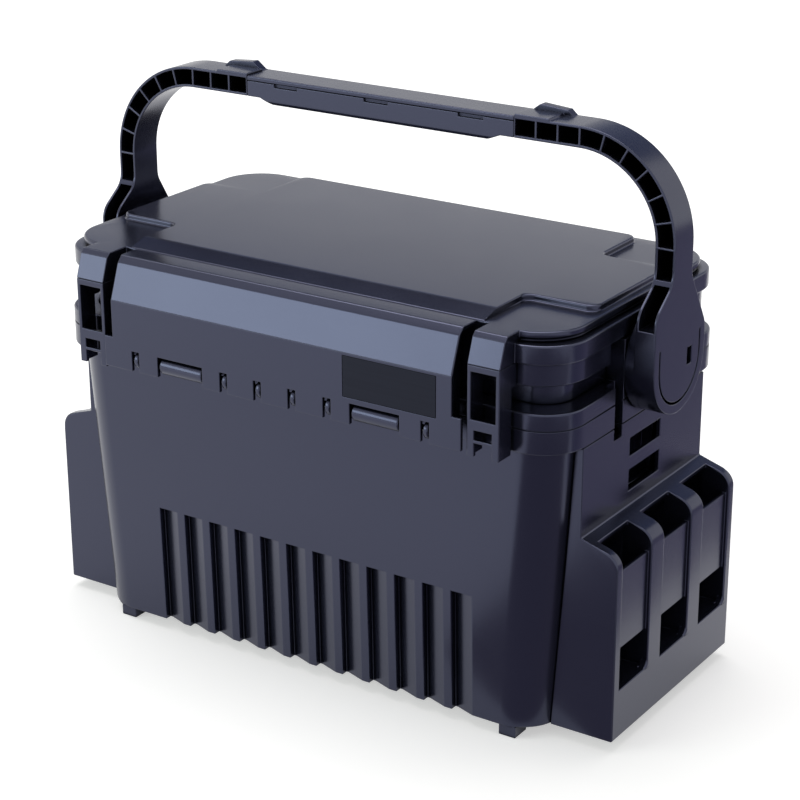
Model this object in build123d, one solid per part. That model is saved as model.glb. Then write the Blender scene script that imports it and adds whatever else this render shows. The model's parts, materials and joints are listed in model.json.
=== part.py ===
# Tackle box in moulded plastic: a tapered tub with three tool pockets on each end, a hinged lid,
# a wide front latch, a bail handle that folds to the rear and a sliding tray inside.
# Millimetres. X runs along the box, Y from front to rear, Z up from the floor. While the pieces are
# made, y = 0 is the plane of the handle's pivots; the whole box is centred when it is written.
import os
from math import cos, degrees, radians, sin

from build123d import *

# Clearances
SEAT_GAP = 0.2          # between pieces that are fixed together
RUNNING_GAP = 0.05      # radial, between a pin and its bore
SIDE_GAP = 0.8          # beside a hinge knuckle, and round the latch
EPS = 1.0               # how far a cut runs past the face that it opens, and a weld into its neighbour

# Tub: its collar sets the length and depth of the box, and the rest stands in from the collar
COLLAR_LENGTH = 383.0
COLLAR_DEPTH = 212.0
COLLAR_HEIGHT = 26.0
COLLAR_LINE_RISE = 15.0     # shallow line round the collar, above the shoulder
COLLAR_LINE = 0.8
WALL = 3.0
FOOT_HEIGHT = 8.0
FOOT_LENGTH = 12.0
FOOT_DEPTH = 14.0
FOOT_INSET = 23.0           # from the end of the tub's floor to the middle of a foot
FOOT_BACKSET = 9.0          # from the front of the tub's floor to the middle of a foot
TUB_HEIGHT = 188.0          # from the tub's underside to its shoulder, below the collar
TUB_CORNER = 27.0
SHOULDER_INSET_X = 5.5
SHOULDER_INSET_Y = 4.5
DRAFT_X = 11.0              # how far each end leans in from the shoulder to the floor
DRAFT_Y = 4.5
NECK_INSET_X = 12.5
NECK_INSET_Y = 16.0
NECK_HEIGHT = 18.0
NECK_CORNER = 20.0

# Flutes down the front wall
FLUTE_COUNT = 12
FLUTE_PITCH = 20.9
FLUTE_WIDTH = 15.0
FLUTE_SHIFT = 5.5       # the row lies this far to the right of the middle
FLUTE_FLAT = 0.8        # flat floor of a flute, beside its steep edge
FLUTE_SINK = 4.8
FLUTE_PROUD = 1.0       # how far its cut starts before the wall
FLUTE_TOP = 91.5

# Towers for the handle's pivots, and the slots beside them
TOWER_HALF = 31.0
TOWER_GAP = 1.0         # under the lid's flange
SLOT_WIDTH = 10.0
SLOT_SINK = 6.5
SLOT_DROP = 8.0         # below the shoulder

# Side racks
RACK_STANDOFF = 25.5    # from the collar's end to the rack's outer face
RACK_INSET = 18.0       # from the front of the tub's floor to the rack's end
RACK_DROP = 57.5        # from the shoulder to the rack's top
RACK_SLOPE = 8.0        # fall of the rack's top from its back to its outer edge
RACK_EDGE_RADIUS = 11.0
RACK_CORNER = 5.0       # lower rear corner of each pocket's window
POCKET_COUNT = 3
POST_WIDTH = 16.5       # between two pockets
END_POST_WIDTH = 7.0
POCKET_BACK = 17.5      # from the outer face to the rear edge of a pocket's mouth
PANEL_SINK = 2.5        # how far a pocket's front panel lies behind the outer face
PANEL_WALL = 2.5
POCKET_RISE = 33.0      # pocket's floor above the rack's underside
WINDOW_HEIGHT = 26.0
MOUTH_DROP = 19.5       # lower edge of a pocket's mouth below the rack's top
STRAP_HALF = 20.0
STRAP_WINDOW_DROPS = ((48.0, 34.0), (25.0, 13.0))   # lower and upper edges below the shoulder
STRAP_ROOM = 14.5       # from the plate's face back into the tub's wall
STRAP_MARGIN = 3.0      # round the windows

# Lid
LID_LIFT = 14.5         # open recess between the collar and the lid's skirt
SKIRT_HEIGHT = 14.5
FLANGE_HEIGHT = 12.0
GROOVE_HEIGHT = 2.5
CAP_HEIGHT = 4.0
PLATEAU_HEIGHT = 4.0
SKIRT_INSET = 4.0       # insets are from the collar's outline
FLANGE_INSET = 1.0
GROOVE_INSET = 7.5
CAP_INSET = 5.5
LID_CORNER = 30.0
LID_WALL = 3.5
NECK_GAP = 3.5
ROOF = 3.5
ROOF_STEP = 4.0             # the cavity narrows by this under the cap
PLATEAU_END_INSET = 10.5
PLATEAU_REAR_INSET = 12.5
PLATEAU_SETBACK = 15.0      # from the lid's front to the plateau's front edge
CUTOUT_LENGTH = 48.0        # corner cut-outs of the plateau, along the box
CUTOUT_FRONT = 49.0         # from the pivots' plane to the front cut-outs
CUTOUT_REAR = 44.0
CUTOUT_RADIUS = 7.0

# Corner hangers on the lid
HANGER_INSET = 43.5     # from the collar's end to the hanger's middle
HANGER_WIDTH = 22.0
HANGER_SETBACK = 3.0    # behind the latch's face
HANGER_DROP = 1.5       # below the shoulder
HANGER_WALL = 2.6
HANGER_REACH = 14.0     # depth of its side flanges
EAR_LEAN = 5.5
EAR_BEVEL = 2.75
HANGER_WINDOW_DROP = 4.0    # below the lid's flange
HANGER_WINDOW_HEIGHT = 29.5
HANGER_SLOT_RISE = 10.5     # above the hanger's foot
HANGER_SLOT_HEIGHT = 6.0
HANGER_NOTCH = 8.5
NOTCH_MARGIN = 5.0

# Front latch
LATCH_STANDOFF = 18.5   # from the collar to the latch's face
LATCH_END_GAP = 2.0     # to the hangers
LATCH_WING = 6.5        # how far its lower part is wider
LATCH_WING_HEIGHT = 20.5
LATCH_RISE = 1.1        # lower edge above the shoulder
LATCH_TOP_GAP = 0.55    # to the lid
LATCH_SLANT = 27.0      # height of the slanted upper part
LATCH_BEAD_DROP = 4.0   # bead below the latch's top
LATCH_BEAD_BACK = 8.5   # the bead lies this far behind the face
LATCH_BEAD_RADIUS = 3.5
LATCH_WALL = 2.6
LATCH_AXIS_BACK = 6.0   # the hinge line lies this far behind the face
LATCH_AXIS_RISE = 6.9   # above the latch's lower edge
LATCH_PIN_RADIUS = 2.0
LUG_RADIUS = 5.8
LUG_WIDTH = 4.0
LUG_WEB_MARGIN = 1.0
KNUCKLE_RADIUS = 4.6
KNUCKLE_WIDTH = 7.0
KNUCKLE_END = 4.0       # from the latch's end to the middle of its last knuckle
OUTER_PITCH = 14.5      # from lug to knuckle near the latch's ends
BARREL_WIDTH = 34.0
BARREL_SPAN = 43.0      # between the knuckles beside a barrel
RIB = 2.0
RIB_BACK_LOW = 8.5      # how far a latch rib reaches behind the hinge line, beside the collar
PLATE_INSET = 11.0      # from the latch's end to the name plate
PLATE_LENGTH = 66.0
PLATE_HEIGHT = 26.0
PLATE_DROP = 2.0        # below the crease
PLATE_THICKNESS = 0.9

# Rear hinges
HINGE_PLACE = 80.0
HINGE_RADIUS = 5.0
HINGE_PROUD = 2.5       # rear of the barrel behind the collar
HINGE_RISE = 7.0        # hinge line above the collar
HINGE_PIN_RADIUS = 2.0
LID_KNUCKLE = 30.0
TUB_KNUCKLE = 12.0

# Handle
PIVOT_RISE = 9.0        # above the collar
PIVOT_RADIUS = 8.0
PIVOT_SINK = 8.5        # how deep the pivot pin sits in its tower
HUB_RADIUS = 33.0
HUB_GAP = 0.7           # between the hub and its tower
HUB_WALL = 3.0
HUB_BOSS = 12.0
ARM_STANDOFF = 21.0     # from the collar's end to the arm's outer face
ARM_THICK = 13.5
ARM_HALF = 12.0         # half its depth, front to rear
BEND_RADIUS = 53.0      # inside of the bend
BEND_RISE = 72.0        # above the pivots, as the next four are
KINK_RISE = 51.5
CELL_RISE = 26.5
FRONT_FLARE_RISE = 35.5
REAR_FLARE_RISE = 16.5
FLARE_RADIUS = 14.0
ARM_FLANGE = 1.8
ARM_RIB = 1.4
KINK_RIB = 3.0
ARM_WEB = 2.5
BEND_CELLS = 6
STRAIGHT_CELLS = 3
TONGUE_RADIUS = 27.0
TONGUE_SLIT = 1.5
DETENT_WIDTH = 6.0
DETENT_HEIGHT = 11.0
DETENT_PLACE = 13.0
GRIP_HALF = 101.0
TENON_LENGTH = 15.0
TENON_HALF = 9.0
TENON_MARGIN = 2.5      # under the tenon's top and over its bottom
GRIP_DROP = 4.0
GRIP_SHOULDER = 10.0    # length of the grip's shallow ends
GRIP_TAPER = 10.0
GRIP_EDGE = 3.0
COVER_THICK = 3.0
COVER_EDGE = 1.0
CLIP_PLACES = (-70.0, 0.0, 70.0)
CLIP_LENGTH = 18.0
CLIP_HEIGHT = 2.2
CLIP_SINK = 1.6
SADDLE_HEIGHT = 1.4
SADDLE_LENGTH = 24.0
ARM_LUG_LENGTH = 32.0
ARM_LUG_DEPTH = 6.5
ARM_LUG_HEIGHT = 5.0
ARM_LUG_STEP = 3.5      # height of the lug's outer end
ARM_LUG_RAMP = 8.0

# Sliding tray
RAIL_DROP = 28.0        # below the shoulder
RAIL_THICK = 3.0
RAIL_BEARING = 3.5      # how far a rail reaches under the tray
RAIL_INSET = 20.0       # from the end of the tub's floor
TRAY_LENGTH = 165.0
TRAY_SIDE_GAP = 3.0     # to the neck, so that the tray lifts out
TRAY_END_GAP = 3.0
TRAY_HEIGHT = 42.0
TRAY_WALL = 2.0
TRAY_CORNER = 8.0
DIVIDER_COUNT = 3
DIVIDER_THICK = 1.6
DIVIDER_GAP = 0.25
DIVIDER_DROP = 4.0
GUIDE = 1.6

# Lengths and depths that follow from the sizes above
SIDE_X = COLLAR_LENGTH / 2
COLLAR_FRONT = -COLLAR_DEPTH / 2
SHOULDER_LENGTH = COLLAR_LENGTH - 2 * SHOULDER_INSET_X
SHOULDER_DEPTH = COLLAR_DEPTH - 2 * SHOULDER_INSET_Y
FLOOR_LENGTH = SHOULDER_LENGTH - 2 * DRAFT_X
FLOOR_DEPTH = SHOULDER_DEPTH - 2 * DRAFT_Y
NECK_LENGTH = COLLAR_LENGTH - 2 * NECK_INSET_X
NECK_DEPTH = COLLAR_DEPTH - 2 * NECK_INSET_Y
RACK_X = SIDE_X + RACK_STANDOFF
RACK_HALF_DEPTH = FLOOR_DEPTH / 2 - RACK_INSET
POSTS = 2 * END_POST_WIDTH + (POCKET_COUNT - 1) * POST_WIDTH
POCKET_WIDTH = (2 * RACK_HALF_DEPTH - POSTS) / POCKET_COUNT
POCKET_PITCH = POCKET_WIDTH + POST_WIDTH
LID_FRONT = -(NECK_DEPTH / 2 + NECK_GAP + LID_WALL)
PLATEAU_HALF_LENGTH = SIDE_X - PLATEAU_END_INSET
PLATEAU_WAIST = PLATEAU_HALF_LENGTH - CUTOUT_LENGTH
PLATEAU_FRONT = -LID_FRONT - PLATEAU_SETBACK
PLATEAU_REAR = COLLAR_DEPTH / 2 - PLATEAU_REAR_INSET
HANGER_PLACE = SIDE_X - HANGER_INSET
LATCH_FACE = COLLAR_FRONT - LATCH_STANDOFF
HANGER_FACE = LATCH_FACE + HANGER_SETBACK
LATCH_HALF_LOW = HANGER_PLACE - HANGER_WIDTH / 2 - LATCH_END_GAP
LATCH_HALF_TOP = LATCH_HALF_LOW - LATCH_WING
LATCH_AXIS_Y = LATCH_FACE + LATCH_AXIS_BACK
LAST_KNUCKLE = LATCH_HALF_TOP - KNUCKLE_END
BARREL_PLACE = LAST_KNUCKLE - 2 * OUTER_PITCH - BARREL_SPAN / 2
INNER_PITCH = (BARREL_PLACE - BARREL_SPAN / 2) / 4
KNUCKLE_PLACES = (2 * INNER_PITCH, 4 * INNER_PITCH, LAST_KNUCKLE - 2 * OUTER_PITCH, LAST_KNUCKLE)
LUG_PLACES = (INNER_PITCH, 3 * INNER_PITCH, LAST_KNUCKLE - OUTER_PITCH)
PLATE_START = LATCH_HALF_TOP - PLATE_INSET - PLATE_LENGTH
HINGE_Y = COLLAR_DEPTH / 2 + HINGE_PROUD - HINGE_RADIUS
ARM_OUTER = SIDE_X + ARM_STANDOFF
ARM_INNER = ARM_OUTER - ARM_THICK
HUB_INNER = SIDE_X + HUB_GAP
BEND_X = ARM_INNER - BEND_RADIUS
GRIP_FULL = GRIP_HALF - GRIP_SHOULDER - GRIP_TAPER
RAIL_HALF = FLOOR_LENGTH / 2 - RAIL_INSET
CENTRE_SHIFT = (-LATCH_FACE - HINGE_Y - HINGE_RADIUS) / 2

# Heights that follow from the sizes above
SHOULDER_Z = FOOT_HEIGHT + TUB_HEIGHT
COLLAR_TOP = SHOULDER_Z + COLLAR_HEIGHT
NECK_TOP = COLLAR_TOP + NECK_HEIGHT
LID_LOW = COLLAR_TOP + LID_LIFT
FLANGE_LOW = LID_LOW + SKIRT_HEIGHT
FLANGE_TOP = FLANGE_LOW + FLANGE_HEIGHT
CAP_LOW = FLANGE_TOP + GROOVE_HEIGHT
CAP_TOP = CAP_LOW + CAP_HEIGHT
LID_TOP = CAP_TOP + PLATEAU_HEIGHT
RACK_TOP = SHOULDER_Z - RACK_DROP
POCKET_FLOOR = FOOT_HEIGHT + POCKET_RISE
MOUTH_LOW = RACK_TOP - MOUTH_DROP
HANGER_LOW = SHOULDER_Z - HANGER_DROP
LATCH_LOW = SHOULDER_Z + LATCH_RISE
LATCH_AXIS_Z = LATCH_LOW + LATCH_AXIS_RISE
LATCH_CREASE_Z = CAP_TOP - LATCH_SLANT
LATCH_BEAD_Z = CAP_TOP - LATCH_BEAD_DROP
PLATE_HIGH = LATCH_CREASE_Z - PLATE_DROP
PLATE_LOW = PLATE_HIGH - PLATE_HEIGHT
HINGE_Z = COLLAR_TOP + HINGE_RISE
PIVOT_Z = COLLAR_TOP + PIVOT_RISE
FRONT_FLARE_Z = PIVOT_Z + FRONT_FLARE_RISE
REAR_FLARE_Z = PIVOT_Z + REAR_FLARE_RISE
CELL_LOW = PIVOT_Z + CELL_RISE
KINK_Z = PIVOT_Z + KINK_RISE
BEND_Z = PIVOT_Z + BEND_RISE
ARM_UNDER = BEND_Z + BEND_RADIUS
ARM_TOP = ARM_UNDER + ARM_THICK
RAIL_Z = SHOULDER_Z - RAIL_DROP
RAIL_TOP = RAIL_Z + RAIL_THICK


def block(x_span, y_span, z_span):
    """A plain box between three pairs of limits."""
    size = [span[1] - span[0] for span in (x_span, y_span, z_span)]
    middle = [(span[1] + span[0]) / 2 for span in (x_span, y_span, z_span)]
    return Pos(*middle) * Box(*size)


def slab(length, depth, corner, low, high):
    """An upright slab with a rounded rectangular outline."""
    return Pos(0, 0, low) * extrude(RectangleRounded(length, depth, corner), high - low)


def tapered(grow, low, high):
    """The tub's tapered outside between two heights, grown or shrunk all round."""
    sections = []
    for height in (low, high):
        share = (height - FOOT_HEIGHT) / (SHOULDER_Z - FOOT_HEIGHT)
        length = FLOOR_LENGTH + share * (SHOULDER_LENGTH - FLOOR_LENGTH) + 2 * grow
        depth = FLOOR_DEPTH + share * (SHOULDER_DEPTH - FLOOR_DEPTH) + 2 * grow
        sections.append(Pos(0, 0, height) * RectangleRounded(length, depth, TUB_CORNER + grow))
    return loft(sections)


def rod(radius, x_low, x_high, y, z):
    """A round rod along X."""
    return Pos((x_low + x_high) / 2, y, z) * Rot(0, 90, 0) * Cylinder(radius, x_high - x_low)


def outline(plane, points):
    """A flat face on a plane from its corner points."""
    return plane * make_face(Polyline(*points, close=True))


def along_x(points, x_low, x_high):
    """A prism along X from (y, z) corner points."""
    return Pos(x_low, 0, 0) * extrude(outline(Plane.YZ, points), x_high - x_low)


def along_y(points, y_low, y_high):
    """A prism along Y from (x, z) corner points."""
    return Pos(0, y_high, 0) * extrude(outline(Plane.XZ, points), y_high - y_low)


def both_sides(places):
    """Each place and its mirror image."""
    return [sign * place for place in places for sign in (-1, 1)]


def mirrored(solid):
    """The same piece for the other end of the box."""
    return mirror(solid, Plane.YZ)


def flutes(wall, reach):
    """The row of saw-tooth flutes, leaning with the front wall, grown by the wall or bare, and lengthened."""
    lean = DRAFT_Y / (SHOULDER_Z - FOOT_HEIGHT)
    run_out = FLUTE_PROUD * (FLUTE_WIDTH - FLUTE_FLAT) / FLUTE_SINK
    row = []
    for number in range(FLUTE_COUNT):
        middle = (number - (FLUTE_COUNT - 1) / 2) * FLUTE_PITCH + FLUTE_SHIFT
        left = middle - FLUTE_WIDTH / 2
        right = middle + FLUTE_WIDTH / 2
        sections = []
        for height in (0, FLUTE_TOP + reach):
            front = wall - FLOOR_DEPTH / 2 - lean * (height - FOOT_HEIGHT)
            corners = (
                (left - wall, front - FLUTE_PROUD),
                (left - wall, front + FLUTE_SINK),
                (left + FLUTE_FLAT, front + FLUTE_SINK),
                (right + run_out, front - FLUTE_PROUD),
            )
            sections.append(Pos(0, 0, height) * outline(Plane.XY, corners))
        row.append(loft(sections, ruled=True))
    return row


def tower_slots():
    """The upright slots in front of and behind each handle tower."""
    cuts = []
    for side in (-1, 1):
        for edge in (-TOWER_HALF - SLOT_WIDTH, TOWER_HALF):
            x_span = sorted((side * (SIDE_X - SLOT_SINK), side * (SIDE_X + EPS)))
            cuts.append(block(x_span, (edge, edge + SLOT_WIDTH), (SHOULDER_Z - SLOT_DROP, COLLAR_TOP + EPS)))
    return cuts


def latch_lug(middle, width):
    """One fixed lug of the latch's hinge, standing on the collar."""
    low = middle - width / 2
    high = middle + width / 2
    web_half = LUG_RADIUS - LUG_WEB_MARGIN
    web_z = (LATCH_AXIS_Z - web_half, LATCH_AXIS_Z + web_half)
    web = block((low, high), (LATCH_AXIS_Y, COLLAR_FRONT + EPS), web_z)
    return rod(LUG_RADIUS, low, high, LATCH_AXIS_Y, LATCH_AXIS_Z) + web


def hinge_lug(middle):
    """One fixed lug of a rear hinge, standing on the collar's top."""
    low = middle - TUB_KNUCKLE / 2
    high = middle + TUB_KNUCKLE / 2
    web = block((low, high), (HINGE_Y - HINGE_RADIUS, HINGE_Y), (COLLAR_TOP - EPS, HINGE_Z))
    return rod(HINGE_RADIUS, low, high, HINGE_Y, HINGE_Z) + web


def hinge_lug_offset():
    """From a rear hinge's middle to the middle of its outer lugs."""
    return LID_KNUCKLE / 2 + SIDE_GAP + TUB_KNUCKLE / 2


def strap_room(side, wall):
    """The room in the tub's end wall behind the strap windows, with a wall round it or bare."""
    drops = [drop for pair in STRAP_WINDOW_DROPS for drop in pair]
    x_span = sorted((side * (SIDE_X - STRAP_ROOM - wall), side * SIDE_X))
    half = STRAP_HALF + STRAP_MARGIN + wall
    low = SHOULDER_Z - max(drops) - STRAP_MARGIN - wall
    high = SHOULDER_Z - min(drops) + STRAP_MARGIN + wall
    return block(x_span, (-half, half), (low, high))


def make_tub():
    """The tub with its feet, flutes, neck, rails and strap rooms."""
    body = tapered(0, FOOT_HEIGHT, SHOULDER_Z)
    body += slab(NECK_LENGTH, NECK_DEPTH, NECK_CORNER, SHOULDER_Z, NECK_TOP)
    hollow = tapered(-WALL, FOOT_HEIGHT + WALL, SHOULDER_Z - WALL)
    hollow -= flutes(WALL, WALL)
    mouth_length = NECK_LENGTH - 2 * WALL
    mouth_depth = NECK_DEPTH - 2 * WALL
    hollow += slab(mouth_length, mouth_depth, NECK_CORNER - WALL, SHOULDER_Z - WALL, NECK_TOP + EPS)
    for side in (-1, 1):
        wall_y = side * (SHOULDER_DEPTH / 2 - WALL / 2)
        edge_y = side * (tray_half_depth() - RAIL_BEARING)
        hollow -= block((-RAIL_HALF, RAIL_HALF), sorted((wall_y, edge_y)), (RAIL_Z, RAIL_TOP))
        hollow -= strap_room(side, WALL)
    body -= hollow
    for side in (-1, 1):
        body -= strap_room(side, 0)
    body -= flutes(0, 0)

    for side in (-1, 1):
        for end in (-1, 1):
            foot_x = side * (FLOOR_LENGTH / 2 - FOOT_INSET)
            foot_y = end * (FLOOR_DEPTH / 2 - FOOT_BACKSET)
            foot_top = FOOT_HEIGHT + WALL / 2
            body += Pos(foot_x, foot_y, foot_top / 2) * Box(FOOT_LENGTH, FOOT_DEPTH, foot_top)
    body -= tower_slots()
    return body


def make_collar():
    """The collar round the tub's neck, with the handle's towers and the lugs of the latch and hinges."""
    low = SHOULDER_Z + SEAT_GAP
    body = slab(COLLAR_LENGTH, COLLAR_DEPTH, TUB_CORNER, low, COLLAR_TOP)
    line_low = SHOULDER_Z + COLLAR_LINE_RISE
    line_high = line_low + COLLAR_LINE
    line_length = COLLAR_LENGTH - 2 * COLLAR_LINE
    line_depth = COLLAR_DEPTH - 2 * COLLAR_LINE
    band = slab(COLLAR_LENGTH + 2 * EPS, COLLAR_DEPTH + 2 * EPS, TUB_CORNER, line_low, line_high)
    band -= slab(line_length, line_depth, TUB_CORNER - COLLAR_LINE, line_low, line_high)
    body -= band
    for side in (-1, 1):
        tower_x = sorted((side * NECK_LENGTH / 2, side * SIDE_X))
        body += block(tower_x, (-TOWER_HALF, TOWER_HALF), (COLLAR_TOP - EPS, FLANGE_LOW - TOWER_GAP))
    hole_length = NECK_LENGTH + 2 * SEAT_GAP
    hole_depth = NECK_DEPTH + 2 * SEAT_GAP
    body -= slab(hole_length, hole_depth, NECK_CORNER + SEAT_GAP, SHOULDER_Z, FLANGE_LOW)
    room_length = SHOULDER_LENGTH - 2 * WALL
    room_depth = SHOULDER_DEPTH - 2 * WALL
    body -= slab(room_length, room_depth, TUB_CORNER - WALL, low + WALL, COLLAR_TOP - WALL)
    body -= tower_slots()

    for place in both_sides((BARREL_PLACE,)):
        body += latch_lug(place, BARREL_WIDTH)
    for place in both_sides(LUG_PLACES):
        body += latch_lug(place, LUG_WIDTH)
    for place in both_sides((HINGE_PLACE,)):
        for lug in both_sides((hinge_lug_offset(),)):
            body += hinge_lug(place + lug)

    body -= rod(LATCH_PIN_RADIUS + RUNNING_GAP, -LATCH_HALF_LOW, LATCH_HALF_LOW, LATCH_AXIS_Y, LATCH_AXIS_Z)
    body -= rod(HINGE_PIN_RADIUS + RUNNING_GAP, -SIDE_X, SIDE_X, HINGE_Y, HINGE_Z)
    for side in (-1, 1):
        bore_x = sorted((side * (SIDE_X - PIVOT_SINK - SEAT_GAP), side * (SIDE_X + EPS)))
        body -= rod(PIVOT_RADIUS + RUNNING_GAP, *bore_x, 0, PIVOT_Z)
    return body


def window_block(x_span, y_span, z_span):
    """A cut for a pocket's front, with its lower rear corner rounded."""
    body = block(x_span, y_span, z_span)
    edge = body.edges().filter_by(Axis.X).sort_by_distance((x_span[0], y_span[1], z_span[0]))[0]
    return fillet(edge, RACK_CORNER)


def rack_slope_z(x):
    """Height of the rack's sloping top."""
    return RACK_TOP - RACK_SLOPE * (x - SIDE_X) / RACK_STANDOFF


def make_rack():
    """The right-hand rack: three pockets open to its hollow back, and a plate with two strap windows."""
    back = FLOOR_LENGTH / 2 - TUB_CORNER
    top = SHOULDER_Z - SEAT_GAP
    profile = (
        (back, FOOT_HEIGHT),
        (RACK_X, FOOT_HEIGHT),
        (RACK_X, RACK_TOP - RACK_SLOPE),
        (SIDE_X, RACK_TOP),
        (SIDE_X, top),
        (back, top),
    )
    body = along_y(profile, -RACK_HALF_DEPTH, RACK_HALF_DEPTH)
    edge = body.edges().filter_by(Axis.Y).sort_by_distance((RACK_X, 0, RACK_TOP - RACK_SLOPE))[0]
    body = fillet(edge, RACK_EDGE_RADIUS)

    pocket_back = RACK_X - POCKET_BACK
    hollow = (
        (back - EPS, FOOT_HEIGHT + WALL),
        (pocket_back - WALL, FOOT_HEIGHT + WALL),
        (pocket_back - WALL, rack_slope_z(pocket_back - WALL) - WALL),
        (SIDE_X - WALL, RACK_TOP - WALL),
        (SIDE_X - WALL, top - WALL),
        (back - EPS, top - WALL),
    )
    body -= along_y(hollow, -RACK_HALF_DEPTH + WALL, RACK_HALF_DEPTH - WALL)
    body -= tapered(SEAT_GAP, FOOT_HEIGHT, SHOULDER_Z)

    outside = (RACK_X - PANEL_SINK, RACK_X + EPS)
    pocket = (pocket_back, RACK_X - PANEL_SINK - PANEL_WALL)
    behind = (
        (pocket_back - WALL - EPS, POCKET_FLOOR),
        (pocket_back + EPS, POCKET_FLOOR),
        (pocket_back + EPS, rack_slope_z(pocket_back) - WALL),
        (pocket_back - WALL - EPS, rack_slope_z(pocket_back - WALL) - WALL),
    )
    through = (pocket_back, RACK_X + EPS)
    above = RACK_TOP + EPS
    for number in range(POCKET_COUNT):
        middle = (number - (POCKET_COUNT - 1) / 2) * POCKET_PITCH
        span = (middle - POCKET_WIDTH / 2, middle + POCKET_WIDTH / 2)
        body -= block(pocket, span, (POCKET_FLOOR, above))
        body -= along_y(behind, *span)
        body -= window_block(outside, span, (POCKET_FLOOR, above))
        body -= block(through, span, (MOUTH_LOW, above))
        body -= window_block(through, span, (POCKET_FLOOR, POCKET_FLOOR + WINDOW_HEIGHT))
    plate = (SIDE_X - WALL - EPS, SIDE_X + EPS)
    for low_drop, high_drop in STRAP_WINDOW_DROPS:
        body -= block(plate, (-STRAP_HALF, STRAP_HALF), (SHOULDER_Z - low_drop, SHOULDER_Z - high_drop))
    for cut in tower_slots():
        body -= cut
    return body


def make_lid():
    """The lid: skirt, flange, groove, cap and plateau, with an ear over each corner hanger."""
    levels = (
        (SKIRT_INSET, LID_LOW, FLANGE_LOW),
        (FLANGE_INSET, FLANGE_LOW, FLANGE_TOP),
        (GROOVE_INSET, FLANGE_TOP, CAP_LOW),
        (CAP_INSET, CAP_LOW, CAP_TOP),
    )
    body = None
    for inset, low, high in levels:
        layer = slab(COLLAR_LENGTH - 2 * inset, COLLAR_DEPTH - 2 * inset, LID_CORNER, low, high)
        body = layer if body is None else body + layer

    wide = Rectangle(2 * PLATEAU_HALF_LENGTH, CUTOUT_FRONT + CUTOUT_REAR)
    wide = Pos(0, (CUTOUT_REAR - CUTOUT_FRONT) / 2) * wide
    deep = Rectangle(2 * PLATEAU_WAIST, PLATEAU_FRONT + PLATEAU_REAR)
    deep = Pos(0, (PLATEAU_REAR - PLATEAU_FRONT) / 2) * deep
    cross = wide + deep
    cross = fillet(cross.vertices(), CUTOUT_RADIUS)
    body += Pos(0, 0, CAP_TOP) * extrude(cross, PLATEAU_HEIGHT)
    slope = (
        (-PLATEAU_FRONT + CUTOUT_RADIUS, CAP_TOP),
        (LID_FRONT, CAP_TOP),
        (-PLATEAU_FRONT, LID_TOP),
        (-PLATEAU_FRONT + CUTOUT_RADIUS, LID_TOP),
    )
    body += along_x(slope, -PLATEAU_WAIST, PLATEAU_WAIST)

    inner_length = NECK_LENGTH + 2 * NECK_GAP
    inner_depth = NECK_DEPTH + 2 * NECK_GAP
    inner_corner = NECK_CORNER + NECK_GAP
    body -= slab(inner_length, inner_depth, inner_corner, LID_LOW - EPS, FLANGE_TOP - ROOF)
    roof_length = inner_length - 2 * ROOF_STEP
    roof_depth = inner_depth - 2 * ROOF_STEP
    body -= slab(roof_length, roof_depth, inner_corner - ROOF_STEP, LID_LOW, CAP_TOP - ROOF)

    latch_room = HANGER_PLACE - HANGER_WIDTH / 2
    body -= block((-latch_room, latch_room), (-COLLAR_DEPTH, LID_FRONT), (LID_LOW - EPS, LID_TOP + EPS))
    notch_half = TOWER_HALF + SLOT_WIDTH
    for side in (-1, 1):
        notch_x = sorted((side * (NECK_LENGTH / 2 - EPS), side * (SIDE_X + EPS)))
        body -= block(notch_x, (-notch_half, notch_half), (LID_LOW - EPS, FLANGE_LOW))

    skirt_front = COLLAR_FRONT + SKIRT_INSET
    for place in both_sides((HANGER_PLACE,)):
        x_span = (place - HANGER_WIDTH / 2, place + HANGER_WIDTH / 2)
        ear = (
            (HANGER_FACE, FLANGE_LOW + SEAT_GAP),
            (HANGER_FACE + EAR_LEAN, CAP_TOP - EAR_BEVEL),
            (HANGER_FACE + EAR_LEAN + EAR_BEVEL, CAP_TOP),
            (LID_FRONT, CAP_TOP),
            (LID_FRONT, FLANGE_LOW + SEAT_GAP),
        )
        body += along_x(ear, *x_span)
        room = (HANGER_FACE + EAR_LEAN + HANGER_WALL, skirt_front)
        inner_x = (x_span[0] + HANGER_WALL, x_span[1] - HANGER_WALL)
        body -= block(inner_x, room, (FLANGE_LOW - EPS, CAP_TOP - ROOF))

    for place in both_sides((HINGE_PLACE,)):
        low = place - LID_KNUCKLE / 2
        high = place + LID_KNUCKLE / 2
        body += rod(HINGE_RADIUS, low, high, HINGE_Y, HINGE_Z)
        body += block((low, high), (HINGE_Y - HINGE_RADIUS, HINGE_Y), (HINGE_Z, LID_LOW + EPS))
    body -= rod(HINGE_PIN_RADIUS + RUNNING_GAP, -SIDE_X, SIDE_X, HINGE_Y, HINGE_Z)
    return body


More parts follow.
